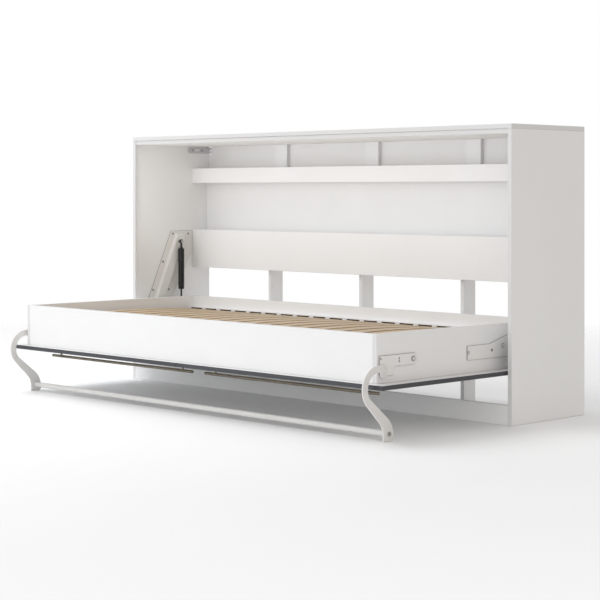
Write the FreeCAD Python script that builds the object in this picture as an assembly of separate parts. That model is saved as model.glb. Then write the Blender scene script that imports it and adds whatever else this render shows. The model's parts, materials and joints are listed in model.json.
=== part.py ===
import FreeCAD, Part
import math
import os

# Horizontal fold-down wall bed: a low cabinet that stands against the wall, a bed frame that turns
# about two pivots low in the cabinet, and a leg frame that unfolds from the front of the bed.
# Millimetres. X runs along the cabinet, Y from the front towards the wall and Z up from the floor.
# Pieces are laid out with Y = 0 in the cabinet's front plane, and the whole is moved at the end so
# that the origin is on the floor at the middle of its footprint.

os.makedirs("parts", exist_ok=True)
V = FreeCAD.Vector

# ---- driving dimensions: boards -------------------------------------------------------------------
board = 18.0                    # melamine-faced board of the cabinet and the bed box
door_board = 16.0               # thinner board of the two door panels
back_sheet = 3.0                # hardboard behind the top niche

# ---- driving dimensions: bed ----------------------------------------------------------------------
well_length = 2000.0            # takes a 2000 long mattress
well_width = 904.0              # takes a 900 wide mattress with 2 to spare each side
side_height = 170.0             # height of the bed box boards
bed_underside = 200.0           # height of the bed box above the floor when it is open
pivot_height = 288.0            # height of the main pivots above the floor
rear_reach = 178.0              # from the main pivots back to the well
door_lip = 34.0                 # door beyond the front board, which closes the cabinet's top
door_side_gap = 4.0             # between the door and each cabinet side
door_top_gap = 3.0              # between the closed door and the board above it
door_seam = 2.0                 # between the two door panels
sweep_gap = 1.5                 # least gap between the door's turning edge and the plinth

# ---- driving dimensions: slats --------------------------------------------------------------------
slat_count = 20
slat_pitch = 100.0
slat_width = 70.0
slat_thickness = 8.0
slat_camber = 16.0              # rise of a slat's middle over its ends
slats_per_set = 5
ledge_width = 22.0              # rails with a pocket for each slat's end
ledge_height = 48.0             # below the pockets
ledge_lip = 4.0                 # above the pockets
ledge_back = 4.0                # behind the pockets
ledge_drop = 72.0               # from the top of the bed box down to the floor of the pockets
cap_back = 3.0                  # walls of the plastic liner of a pocket: behind the slat's end
cap_side = 2.0                  # beside it
cap_floor = 6.0                 # under it
cap_roof = 6.0                  # over it, at the very end
seam_batten_width = 100.0

# ---- driving dimensions: cabinet ------------------------------------------------------------------
side_gap = 59.0                 # between the bed box and the cabinet side, where the fittings are
plinth_height = 74.0
ceiling_setback = 3.0           # of the ceiling board behind the front edge of the top panel
rear_gap = 42.0                 # behind the bed box, up to the upper rail and the wide board
rail_to_back = 108.0            # from the front of these two to the back of the cabinet
upper_rail_height = 69.0
upper_rail_drop = 104.0         # from the ceiling board down to the top of the upper rail
wide_board_height = 177.0
wide_board_rise = 213.0         # from the main pivots up to the underside of the wide board
back_panel_tuck = 25.0          # back panel stops this far below the top of the upper rail
back_panel_overlap = 90.0       # back panel reaches this far below the top of the wide board
rib_overlap = 40.0              # support ribs stop this far below the top of the wide board
rib_spacing = 562.0
batten_width = 78.0

# ---- driving dimensions: dowels and screws --------------------------------------------------------
dowel_radius = 4.0
dowel_in_face = 12.0            # depth of a dowel in the face of a board
dowel_in_edge = 20.0            # depth of a dowel in the edge of a board
dowels_in_depth = 3             # in each end of the ceiling board
dowels_in_edge = 2              # in each end of the other boards
screw_radius = 2.5
screw_head_radius = 5.5
screw_head_height = 2.2
screw_length = 13.0

# ---- driving dimensions: mechanism plates, pivots and gas springs ---------------------------------
steel = 2.5                     # pressed mechanism plates
hat_depth = 18.0                # from the cabinet side to the raised face of a mechanism plate
hat_slope = 5.0                 # how far the raised part narrows from flange to face
plate_rise = 385.0              # from the main pivot to the top of a mechanism plate
plate_rear_gap = 1.0            # between a mechanism plate and the boards behind it
# outlines and screw places are given as back, up and corner radius from the main pivot
plate_foot = [(104, 62, 40), (78, -62, 40), (-62, -62, 40), (-62, 0, 60)]
plate_head_front = 106.0
plate_head_side = 95.0          # straight rear edge of the plate's head
plate_head_round = 8.0
plate_head_bend = 30.0
raised_outline = [(133, 372, 14), (196, 372, 16), (63, 82, 60), (46, -36, 30), (-41, -36, 28)]
plate_screw_places = [(117, 371), (57, 242), (-2, 113), (211, 370), (151, 245), (92, 112)]
bed_plate_outline = [
    (-267, -42, 5), (-267, 11, 5), (-140, 11, 30), (-21, 42, 30),
    (170, 42, 16), (170, -52, 16), (50, -52, 25), (-21, -43, 60)]
bed_plate_screws = [(-258, -14, 7.0), (-127, -13, 5.5), (-63, 0, 9.0), (98, 22, 7.0)]   # radius of head last
pin_radius = 10.0
pin_end_gap = 3.0               # between the end of a main pin and the plate's flange
bush_wall = 3.0
bush_flange_width = 5.0
bush_flange = 2.0
bush_end_gap = 2.0              # between the end of a bush and the plate's flange
hub_width = 5.0                 # of the collar on a main pin, around the pin
running_gap = 0.05              # radial clearance of a pin in its bore
side_play = 0.5                 # end clearance between pieces that turn against each other
spring_offset = 15.0            # from the raised face of the plate in to the gas spring's axis
spring_back = 143.0             # both ends of the open gas spring behind the main pivot
spring_top_rise = 335.0         # upper stud above the main pivot
spring_foot_drop = 30.0         # lower stud below the main pivot
cylinder_length = 189.0
cylinder_top_drop = 33.0        # from the upper stud down to the cylinder
cylinder_radius = 14.0
cylinder_wall = 2.0
cylinder_end = 4.0
gland_length = 12.0
rod_radius = 4.0
rod_showing = 35.0              # bare rod between the gland and the end fitting when open
piston_radius = 11.8
piston_length = 10.0
piston_top_gap = 14.0           # above the piston when the bed is open
eye_neck_radius = 5.0
eye_radius = 10.0
eye_width = 10.0
stud_radius = 5.0
stud_flange_radius = 7.0
stud_flange = 2.0
stud_tail_radius = 4.0          # riveted end of a stud, in its plate
stud_collar_radius = 9.0
stud_collar = 5.0

# ---- driving dimensions: leg frame ----------------------------------------------------------------
bed_plate = 3.0                 # steel of the bed's pivot plates and of the leg arms
arm_pivot_back = 182.0          # from the front board's face back to the leg frame's pivot
arm_pivot_rise = 75.0           # from the underside of the bed box up to the leg frame's pivot
arm_pin_radius = 6.0
arm_shoulder_radius = 12.0
arm_head_radius = 9.6
arm_head_height = 3.0
arm_reach = 20.0                # from the leg frame's pivot back to the end of the arm, and up and down
arm_end_round = 19.0
arm_front_reach = 19.0          # from the bolt forward to the front end of the arm
arm_front_round = 3.0
arm_tab_length = 56.0           # from the bolt back to the end of the tab that carries it
arm_tab_drop = 9.0
arm_tab_round = 8.0
arm_tab_bend = 5.0
arm_spare_holes = [(82, -4), (82, 6), (-12, 10)]
arm_washer = 1.0                # between the side board and a leg arm, play included
arm_play = 0.3
leg_joint_back = 28.0           # from the front board's face back to the bolt that holds leg and arm
leg_joint_rise = 34.0           # from the underside of the bed box up to this bolt
leg_rivet_place = (4.0, 19.0)   # flush rivet, behind and above this bolt
leg_bow = 108.5                 # how far the leg bows out in front of this bolt
leg_thickness = 6.0
leg_strap = 25.0                # width of the strap at the top of the leg
leg_bow_strap = 26.5            # and where it bows out furthest
leg_foot = 52.0                 # and at the floor
leg_foot_setback = 5.0          # from the bolt forward to the front of the foot
leg_top_rise = 30.0             # from the bolt up to the top of the strap
leg_knee_drop = 8.0             # outer knee below the inner one
leg_tab_half = 16.0             # half the width of the tab around the bolt
leg_tab_front = 19.0
# corner radii from the top of the tab forwards, down to the foot and back up the inner edge
leg_rounds = (12, 78, 76, 60, 3, 12, 85, 46, 52, 6, 14, 14)
leg_slope = 38.7                # fall of the strap's inner edge under the door, in degrees
door_edge_gap = 3.0             # between the turning strap and the door's front edge
tube_radius = 10.5
tube_wall = 1.5
tube_back = 23.0                # from the leg's bolt back to the cross tube
tube_height = 26.0
tube_plug_length = 22.0
leg_bolt_radius = 4.0
leg_bolt_head = 4.0

# ---- driving dimensions: door handles -------------------------------------------------------------
handle_radius = 6.0
handle_drop = 30.0              # from the door's outer face out to the handle's axis
handle_edge = 119.0             # from the door's front edge back to the handle
handle_from_seam = 35.0
handle_from_side = 123.0        # from the door's side edge to the handle's end
handle_post_inset = 60.0
handle_post_radius = 4.5
handle_end_round = 2.0

# ---- driving dimensions: wall brackets ------------------------------------------------------------
wall_bracket_steel = 2.0
wall_bracket_length = 135.0
wall_bracket_height = 30.0
wall_bracket_drop = 3.0         # below the ceiling board
wall_bracket_flange = 18.0
wall_bracket_round = 14.0
wall_bracket_bend = 1.0
wall_bracket_screw_places = (28.0, 88.0)    # from the bracket's front end
wall_slot = (45.0, 75.0)        # from the bracket's front end
wall_slot_width = 8.0
wall_hole_radius = 4.0
wall_hole_inset = 10.0          # from the cabinet side in to the hole
wall_notch_gap = 3.0            # cut away around the bracket in the back sheet

# ---- places worked out from the driving dimensions ------------------------------------------------
bed_half = well_length / 2 + board                      # outer face of the bed box's side boards
inner_half = bed_half + side_gap                        # inner face of the cabinet sides
cabinet_half = inner_half + board
door_half = inner_half - door_side_gap

pivot_y = pivot_height - (bed_underside - door_board)   # brings the closed door to the front plane
pivot_z = pivot_height
well_rear = pivot_y + rear_reach
well_front = well_rear - well_width
bed_front = well_front - board
bed_rear = well_rear + board
bed_top = bed_underside + side_height
door_front = bed_front - door_lip

rail_setback = bed_rear + rear_gap
rail_back = rail_setback + board
cabinet_depth = rail_setback + rail_to_back
ceiling = pivot_z + (pivot_y - door_front) + door_top_gap      # underside of the ceiling board
cabinet_sides_top = ceiling + board
cabinet_height = cabinet_sides_top + board

# the door's rear corner turns just clear of the plinth's rear top edge
plinth_corner = math.hypot(pivot_y - board, pivot_z - plinth_height)
door_rear = pivot_y + math.sqrt((plinth_corner - sweep_gap) ** 2 - pivot_y ** 2)

upper_rail_top = ceiling - upper_rail_drop
wide_board_bottom = pivot_z + wide_board_rise
wide_board_top = wide_board_bottom + wide_board_height
back_panel_bottom = wide_board_top - back_panel_overlap
back_panel_top = upper_rail_top - back_panel_tuck

pocket_floor = bed_top - ledge_drop
pocket_top = pocket_floor + cap_floor + slat_thickness + cap_roof
slat_end_gap = ledge_back + cap_back                    # between a slat's end and the board
plate_face = inner_half - hat_depth                     # raised face of the mechanism plates
plate_flange = inner_half - steel
spring_x = plate_face - spring_offset
spring_y = pivot_y + spring_back
stud_top_z = pivot_z + spring_top_rise
stud_foot_z = pivot_z - spring_foot_drop
bed_plate_face = bed_half + bed_plate
bush_radius = pin_radius + bush_wall

arm_y = bed_front + arm_pivot_back
arm_z = bed_underside + arm_pivot_rise
arm_inner = bed_half + arm_washer
leg_y = bed_front + leg_joint_back
leg_z = bed_underside + leg_joint_rise
leg_inner = arm_inner + bed_plate
leg_outer = leg_inner + leg_thickness
leg_front = leg_y - leg_bow
tube_y = leg_y + tube_back
footprint_middle = (leg_front + cabinet_depth) / 2


# ---- shapes ---------------------------------------------------------------------------------------
def block(x0, x1, y0, y1, z0, z1):
    return Part.makeBox(x1 - x0, y1 - y0, z1 - z0, V(x0, y0, z0))


def rod_x(radius, x0, x1, y, z):
    return Part.makeCylinder(radius, x1 - x0, V(x0, y, z), V(1, 0, 0))


def rod_y(radius, y0, y1, x, z):
    return Part.makeCylinder(radius, y1 - y0, V(x, y0, z), V(0, 1, 0))


def rod_z(radius, z0, z1, x, y):
    return Part.makeCylinder(radius, z1 - z0, V(x, y, z0), V(0, 0, 1))


def outline(corners, x=0.0):
    """Closed wire in the plane X = x through (y, z, radius) corners, each rounded to its radius."""
    edges = []
    ends = []
    count = len(corners)
    for i in range(count):
        y, z, radius = corners[i]
        corner = V(x, y, z)
        before = corners[i - 1]
        after = corners[(i + 1) % count]
        back = (V(x, before[0], before[1]) - corner).normalize()
        ahead = (V(x, after[0], after[1]) - corner).normalize()
        half = back.getAngle(ahead) / 2
        reach = radius / math.tan(half)
        middle = (back + ahead).normalize()
        start = corner + back * reach
        end = corner + ahead * reach
        mid = corner + middle * (radius / math.sin(half) - radius)
        ends.append((start, mid, end))
    for i in range(count):
        start, mid, end = ends[i]
        following = ends[(i + 1) % count][0]
        edges.append(Part.Arc(start, mid, end).toShape())
        if (following - end).Length > 1e-6:
            edges.append(Part.LineSegment(end, following).toShape())
    return Part.Wire(edges)


def plate(corners, x0, x1):
    """Flat plate between X = x0 and x1 with a rounded outline."""
    return Part.Face(outline(corners, x0)).extrude(V(x1 - x0, 0, 0))


def around(y, z, corners):
    """Corners given from a centre (y, z)."""
    return [(y + dy, z + dz, radius) for dy, dz, radius in corners]


def mirrored(shape):
    return shape.mirror(V(0, 0, 0), V(1, 0, 0))


def both_sides(solids):
    return solids + [mirrored(solid) for solid in solids]


def cut_all(shape, tools):
    return shape.cut(Part.makeCompound(tools))


def side_screw(y, z, face, into, head_radius=screw_head_radius):
    """Pan-head screw along X with its head on the plane X = face, going towards +X or -X."""
    shank_start = min(face, face + into * screw_length)
    head_start = min(face, face - into * screw_head_height)
    shank = rod_x(screw_radius, shank_start, shank_start + screw_length, y, z)
    head = rod_x(head_radius, head_start, head_start + screw_head_height, y, z)
    return shank.fuse(head).removeSplitter()


parts = {}


def keep(name, shape):
    parts[name] = shape


def keep_pair(name, shape):
    """One piece on the right and its mirror image on the left."""
    parts["right_" + name] = shape
    parts["left_" + name] = mirrored(shape)


# ---- dowels ---------------------------------------------------------------------------------------
def end_dowels(y_places, z_places):
    """Dowels that join a long board to both cabinet sides."""
    pins = []
    for y in y_places:
        for z in z_places:
            pins.append(rod_x(dowel_radius, inner_half - dowel_in_edge, inner_half + dowel_in_face, y, z))
    return both_sides(pins)


def spread(low, high, count):
    """Middles of count equal shares of the length from low to high."""
    share = (high - low) / count
    return [low + (i + 0.5) * share for i in range(count)]


def cabinet_dowels():
    thick = board / 2
    rail_bottom = upper_rail_top - upper_rail_height
    pins = end_dowels(spread(0.0, cabinet_depth, dowels_in_depth), [ceiling + thick])
    pins += end_dowels([thick], spread(0.0, plinth_height, dowels_in_edge))
    pins += end_dowels([rail_setback + thick], spread(rail_bottom, upper_rail_top, dowels_in_edge))
    pins += end_dowels([rail_setback + thick], spread(wide_board_bottom, wide_board_top, dowels_in_edge))
    pins += end_dowels([cabinet_depth - thick], spread(back_panel_bottom, back_panel_top, dowels_in_edge))
    return pins


def bed_dowels():
    """Dowels through the bed box's side boards into the ends of the front and rear boards."""
    pins = []
    start = well_length / 2 - dowel_in_edge
    for y in (bed_front + board / 2, bed_rear - board / 2):
        for z in spread(bed_underside, bed_top, dowels_in_edge):
            pins.append(rod_x(dowel_radius, start, start + dowel_in_edge + dowel_in_face, y, z))
    return both_sides(pins)


# ---- screws ---------------------------------------------------------------------------------------
def mechanism_screws():
    """Three screws down each flange of a mechanism plate."""
    return [side_screw(pivot_y + dy, pivot_z + dz, plate_flange, 1) for dy, dz in plate_screw_places]


def pivot_plate_screws():
    return [side_screw(pivot_y + dy, pivot_z + dz, bed_plate_face, -1, head)
            for dy, dz, head in bed_plate_screws]


def wall_bracket_screws():
    z = ceiling - wall_bracket_drop - wall_bracket_height / 2
    front = cabinet_depth - wall_bracket_length
    return [side_screw(front + dy, z, inner_half - wall_bracket_steel, 1) for dy in wall_bracket_screw_places]


# ---- cabinet --------------------------------------------------------------------------------------
def build_cabinet():
    pins = cabinet_dowels()
    holders = mechanism_screws() + wall_bracket_screws()
    side = block(inner_half, cabinet_half, 0, cabinet_depth, 0, cabinet_sides_top)
    keep_pair("side_panel", cut_all(side, pins + holders))
    keep("top_panel", block(-cabinet_half, cabinet_half, 0, cabinet_depth, cabinet_sides_top, cabinet_height))

    long_boards = {
        "ceiling_board": (ceiling_setback, cabinet_depth, ceiling, cabinet_sides_top),
        "front_plinth": (0, board, 0, plinth_height),
        "upper_rail": (rail_setback, rail_back, upper_rail_top - upper_rail_height, upper_rail_top),
        "wide_rail": (rail_setback, rail_back, wide_board_bottom, wide_board_top),
        "back_panel": (cabinet_depth - board, cabinet_depth, back_panel_bottom, back_panel_top),
    }
    for name, (y0, y1, z0, z1) in long_boards.items():
        keep(name, cut_all(block(-inner_half, inner_half, y0, y1, z0, z1), pins))

    sheet_front = cabinet_depth - back_sheet
    sheet = block(-inner_half, inner_half, sheet_front, cabinet_depth, back_panel_top, ceiling)
    notch_x = inner_half - wall_bracket_flange - wall_notch_gap
    notch_z = ceiling - wall_bracket_drop - wall_bracket_height - wall_notch_gap
    notch = block(notch_x, inner_half, sheet_front, cabinet_depth, notch_z, ceiling)
    keep("top_back_sheet", cut_all(sheet, both_sides([notch])))

    for place, x in (("left", -rib_spacing), ("centre", 0.0), ("right", rib_spacing)):
        half = batten_width / 2
        keep(place + "_back_batten",
             block(x - half, x + half, sheet_front - board, sheet_front, back_panel_top, ceiling))
        rib_left = x - board / 2
        rib_top = wide_board_top - rib_overlap
        keep(place + "_support_rib",
             block(rib_left, rib_left + board, rail_back, cabinet_depth - board, 0, rib_top))
    keep("cabinet_dowels", Part.makeCompound(pins))


def build_wall_brackets():
    """Strap on the cabinet side with a flange folded against the wall."""
    rear = cabinet_depth
    front = rear - wall_bracket_length
    top = ceiling - wall_bracket_drop
    bottom = top - wall_bracket_height
    middle = (top + bottom) / 2
    inside = inner_half - wall_bracket_steel
    strap = plate([
        (front, bottom, wall_bracket_round), (front, top, wall_bracket_round),
        (rear, top, wall_bracket_bend), (rear, bottom, wall_bracket_bend)], inside, inner_half)
    slot_front = front + wall_slot[0]
    slot_rear = front + wall_slot[1]
    half = wall_slot_width / 2
    slot = block(inside, inner_half, slot_front + half, slot_rear - half, middle - half, middle + half)
    slot_ends = [rod_x(half, inside, inner_half, y, middle) for y in (slot_front + half, slot_rear - half)]
    flange = block(inner_half - wall_bracket_flange, inner_half, rear - wall_bracket_steel, rear, bottom, top)
    wall_hole = rod_y(wall_hole_radius, rear - wall_bracket_steel, rear, inner_half - wall_hole_inset, middle)
    shape = strap.fuse(flange).removeSplitter()
    keep_pair("wall_bracket", cut_all(shape, wall_bracket_screws() + slot_ends + [slot, wall_hole]))


def raised_skin(foot_x, face_x, inset):
    """Solid under the raised part of a mechanism plate, narrowing from its foot to its face."""
    foot = Part.Face(outline(around(pivot_y, pivot_z, raised_outline)))
    if inset:
        foot = foot.makeOffset2D(-inset)
    face = foot.makeOffset2D(-hat_slope)
    foot_wire = foot.OuterWire
    face_wire = face.OuterWire
    foot_wire.translate(V(foot_x, 0, 0))
    face_wire.translate(V(face_x, 0, 0))
    return Part.makeLoft([foot_wire, face_wire], True, True)


def build_mechanism_plates():
    """Pressed plate: a flat flange on the cabinet side and a raised strut that carries the pivot."""
    rear = rail_setback - plate_rear_gap - pivot_y
    flange_corners = [
        (plate_head_front, plate_rise, plate_head_round), (rear, plate_rise, plate_head_round),
        (rear, plate_rise - plate_head_side, plate_head_bend)] + plate_foot
    flange = plate(around(pivot_y, pivot_z, flange_corners), plate_flange, inner_half)
    solid = flange.fuse(raised_skin(plate_flange + steel / 2, plate_face, 0.0))
    solid = solid.cut(raised_skin(inner_half, plate_face + steel, steel))
    screws = mechanism_screws()
    bush_hole = rod_x(bush_radius, plate_face, inner_half, pivot_y, pivot_z)
    stud_hole = rod_x(stud_tail_radius, plate_face, plate_face + steel, spring_y, stud_top_z)
    keep_pair("mechanism_plate", cut_all(solid, screws + [bush_hole, stud_hole]).removeSplitter())
    keep("cabinet_screws", Part.makeCompound(both_sides(screws + wall_bracket_screws())))


def build_pivots():
    """The bed's pins turn in flanged bushes in the mechanism plates."""
    bush_start = plate_face - bush_flange
    barrel = rod_x(bush_radius, bush_start, inner_half - steel - bush_end_gap, pivot_y, pivot_z)
    collar = rod_x(bush_radius + bush_flange_width, bush_start, plate_face, pivot_y, pivot_z)
    bore = rod_x(pin_radius + running_gap, bush_start, inner_half, pivot_y, pivot_z)
    bush = barrel.fuse(collar).cut(bore).removeSplitter()
    keep("pivot_bushes", Part.makeCompound(both_sides([bush])))

    pin = rod_x(pin_radius, bed_half - board, inner_half - steel - pin_end_gap, pivot_y, pivot_z)
    hub = rod_x(pin_radius + hub_width, bed_plate_face, bush_start - side_play, pivot_y, pivot_z)
    keep("pivot_pins", Part.makeCompound(both_sides([pin.fuse(hub).removeSplitter()])))


# ---- bed ------------------------------------------------------------------------------------------
def build_bed_box():
    pins = bed_dowels()
    holders = pivot_plate_screws()
    bores = [rod_x(pin_radius, bed_half - board, bed_half, pivot_y, pivot_z),
             rod_x(arm_pin_radius, bed_half - board, bed_half, arm_y, arm_z)]
    side = block(bed_half - board, bed_half, bed_front, bed_rear, bed_underside, bed_top)
    keep_pair("side_board", cut_all(side, pins + holders + bores))
    front = block(-well_length / 2, well_length / 2, bed_front, well_front, bed_underside, bed_top)
    rear = block(-well_length / 2, well_length / 2, well_rear, bed_rear, bed_underside, bed_top)
    keep("front_board", cut_all(front, pins))
    keep("rear_board", cut_all(rear, pins))
    keep("bed_dowels", Part.makeCompound(pins))

    keep("seam_batten", block(-seam_batten_width / 2, seam_batten_width / 2, well_front, well_rear,
                              bed_underside, bed_underside + board))
    door = block(door_seam / 2, door_half, door_front, door_rear, bed_underside - door_board, bed_underside)
    keep_pair("door_panel", door)


def slat(x):
    """Bowed strip across the bed, centred on x."""
    y0 = well_front + slat_end_gap
    y1 = well_rear - slat_end_gap
    middle = (y0 + y1) / 2
    low = pocket_floor + cap_floor
    high = low + slat_thickness
    left = x - slat_width / 2
    under = Part.Arc(V(left, y0, low), V(left, middle, low + slat_camber), V(left, y1, low)).toShape()
    over = Part.Arc(V(left, y0, high), V(left, middle, high + slat_camber), V(left, y1, high)).toShape()
    start = Part.LineSegment(V(left, y0, low), V(left, y0, high)).toShape()
    finish = Part.LineSegment(V(left, y1, low), V(left, y1, high)).toShape()
    return Part.Face(Part.Wire([under, finish, over, start])).extrude(V(slat_width, 0, 0))


def slat_places():
    half = (slat_count - 1) / 2
    return [(i - half) * slat_pitch for i in range(slat_count)]


def build_slats():
    """Bowed slats in plastic liners, which sit in the pockets of the two ledges."""
    places = slat_places()
    strips = [slat(x) for x in places]
    for first in range(0, slat_count, slats_per_set):
        name = "slat_set_%d" % (first // slats_per_set + 1)
        keep(name, Part.makeCompound(strips[first:first + slats_per_set]))

    caps = []
    half = slat_width / 2 + cap_side
    low = pocket_floor - ledge_height
    high = pocket_top + ledge_lip
    depth = ledge_width - ledge_back
    for place, ledge_y, pocket_y in (
            ("front", well_front, well_front + ledge_back),
            ("rear", well_rear - ledge_width, well_rear - ledge_width)):
        pockets = [block(x - half, x + half, pocket_y, pocket_y + depth, pocket_floor, pocket_top)
                   for x in places]
        ledge = block(-well_length / 2, well_length / 2, ledge_y, ledge_y + ledge_width, low, high)
        keep(place + "_slat_ledge", cut_all(ledge, pockets))
        caps += [pocket.cut(strip) for pocket, strip in zip(pockets, strips)]
    keep("slat_end_caps", Part.makeCompound(caps))


def build_bed_fittings():
    screws = pivot_plate_screws()
    tail = rod_x(stud_tail_radius, bed_half, bed_plate_face, spring_y, stud_foot_z)
    pin_hole = rod_x(pin_radius, bed_half, bed_plate_face, pivot_y, pivot_z)
    pivot_plate = plate(around(pivot_y, pivot_z, bed_plate_outline), bed_half, bed_plate_face)
    keep_pair("pivot_plate", cut_all(pivot_plate, screws + [tail, pin_hole]))
    keep("pivot_plate_screws", Part.makeCompound(both_sides(screws)))

    # shouldered pins for the leg frame: washer, shank and head in one
    head_face = leg_inner + arm_play
    pin = rod_x(arm_pin_radius, bed_half - board, head_face, arm_y, arm_z)
    shoulder = rod_x(arm_shoulder_radius, bed_half, arm_inner - arm_play, arm_y, arm_z)
    head = rod_x(arm_head_radius, head_face, head_face + arm_head_height, arm_y, arm_z)
    keep("leg_pivot_pins", Part.makeCompound(both_sides([pin.fuse([shoulder, head]).removeSplitter()])))

    stud_end = spring_x - eye_width / 2 - side_play
    stud = rod_x(stud_radius, bed_plate_face, stud_end, spring_y, stud_foot_z)
    collar = rod_x(stud_collar_radius, bed_plate_face, bed_plate_face + stud_collar, spring_y, stud_foot_z)
    foot_stud = tail.fuse([stud, collar]).removeSplitter()
    keep("spring_foot_studs", Part.makeCompound(both_sides([foot_stud])))


def build_handles():
    y = door_front + handle_edge
    door_face = bed_underside - door_board
    z = door_face - handle_drop
    start = door_seam / 2 + handle_from_seam
    end = door_half - handle_from_side
    bar = rod_x(handle_radius, start, end, y, z)
    rims = [edge for edge in bar.Edges if edge.Curve.TypeId == "Part::GeomCircle"]
    bar = bar.makeFillet(handle_end_round, rims)
    posts = []
    for x in (start + handle_post_inset, end - handle_post_inset):
        posts.append(rod_z(handle_post_radius, z, door_face, x, y).cut(bar))
    keep_pair("handle_bar", bar)
    keep("handle_posts", Part.makeCompound(both_sides(posts)))


# ---- leg frame ------------------------------------------------------------------------------------
def build_leg_arms():
    """Flat arms on the outside of the bed box, which turn about the leg frame's pivots."""
    back = arm_y - leg_y + arm_reach
    top = arm_z - leg_z + arm_reach
    step = arm_z - leg_z - arm_reach
    corners = [
        (-arm_front_reach, top, arm_front_round), (back, top, arm_end_round), (back, step, arm_end_round),
        (arm_tab_length, step, arm_tab_bend), (arm_tab_length, -arm_tab_drop, arm_tab_round),
        (-arm_front_reach, -arm_tab_drop, arm_tab_round)]
    arm = plate(around(leg_y, leg_z, corners), arm_inner, leg_inner)
    pin_bore = rod_x(arm_pin_radius + running_gap, arm_inner, leg_inner, arm_y, arm_z)
    spare = [rod_x(screw_radius, arm_inner, leg_inner, leg_y + dy, arm_z + dz) for dy, dz in arm_spare_holes]
    keep_pair("leg_arm", cut_all(arm, leg_joint_bolts() + spare + [pin_bore]))


def leg_joint_bolts():
    """A round-headed bolt and a flush rivet hold each leg to its arm."""
    rivet_y, rivet_z = leg_rivet_place
    rivet = rod_x(screw_radius, arm_inner, leg_outer, leg_y + rivet_y, leg_z + rivet_z)
    shank = rod_x(screw_radius, arm_inner, leg_outer, leg_y, leg_z)
    head = rod_x(screw_head_radius, leg_outer, leg_outer + screw_head_height, leg_y, leg_z)
    return [shank.fuse(head).removeSplitter(), rivet]


def strap_inner_edge(y):
    """Height of the strap's sloping inner edge, which clears the door's edge as the leg turns."""
    slope = math.radians(leg_slope)
    door_edge = math.hypot(arm_y - door_front, arm_z - (bed_underside - door_board))
    clear = door_edge + door_edge_gap
    return arm_z - (clear + (y - arm_y) * math.sin(slope)) / math.cos(slope)


def leg_outline():
    """Corners of a leg: a strap that bows forward round the door's edge and widens to a foot."""
    strap_top = leg_z + leg_top_rise
    strap_low = strap_top - leg_strap
    bow_back = leg_front + leg_bow_strap
    foot_front = leg_y - leg_foot_setback
    foot_back = foot_front + leg_foot
    knee = strap_inner_edge(bow_back)
    outer_knee = knee - leg_knee_drop
    tab_back = leg_y + leg_tab_half
    tab_low = leg_z - leg_tab_half
    places = [
        (tab_back, strap_top), (leg_front, strap_top), (leg_front, outer_knee),
        (foot_front, outer_knee - (foot_front - leg_front)), (foot_front, 0), (foot_back, 0),
        (foot_back, strap_inner_edge(foot_back)), (bow_back, knee), (bow_back, strap_low),
        (leg_y - leg_tab_front, strap_low), (leg_y - leg_tab_half, tab_low), (tab_back, tab_low)]
    return [(y, z, radius) for (y, z), radius in zip(places, leg_rounds)]


def build_leg_frame():
    """S-shaped flat legs joined by a tube near the floor."""
    leg = plate(leg_outline(), leg_inner, leg_outer)
    bolt_hole = rod_x(leg_bolt_radius, leg_inner, leg_outer, tube_y, tube_height)
    keep_pair("leg", cut_all(leg, leg_joint_bolts() + [bolt_hole]))

    tube = rod_x(tube_radius, -leg_inner, leg_inner, tube_y, tube_height)
    hollow = rod_x(tube_radius - tube_wall, -leg_inner, leg_inner, tube_y, tube_height)
    keep("cross_tube", tube.cut(hollow))
    plug_start = leg_inner - tube_plug_length
    plug = rod_x(tube_radius - tube_wall, plug_start, leg_inner, tube_y, tube_height)
    shank = rod_x(leg_bolt_radius, plug_start, leg_outer, tube_y, tube_height)
    keep("tube_end_plugs", Part.makeCompound(both_sides([plug.cut(shank)])))
    bolt = shank.fuse(rod_x(2 * leg_bolt_radius, leg_outer, leg_outer + leg_bolt_head, tube_y, tube_height))
    keep("leg_bolts", Part.makeCompound(both_sides([bolt.removeSplitter()] + leg_joint_bolts())))


# ---- gas springs ----------------------------------------------------------------------------------
def spring_eye(z, neck_end):
    """Eye on a stud at height z with its neck, to fuse to a gas spring's axis."""
    neck = rod_z(eye_neck_radius, min(z, neck_end), max(z, neck_end), spring_x, spring_y)
    half = eye_width / 2
    eye = rod_x(eye_radius, spring_x - half, spring_x + half, spring_y, z)
    bore = rod_x(stud_radius + running_gap, spring_x - half, spring_x + half, spring_y, z)
    return neck.fuse(eye).cut(bore).removeSplitter()


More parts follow.
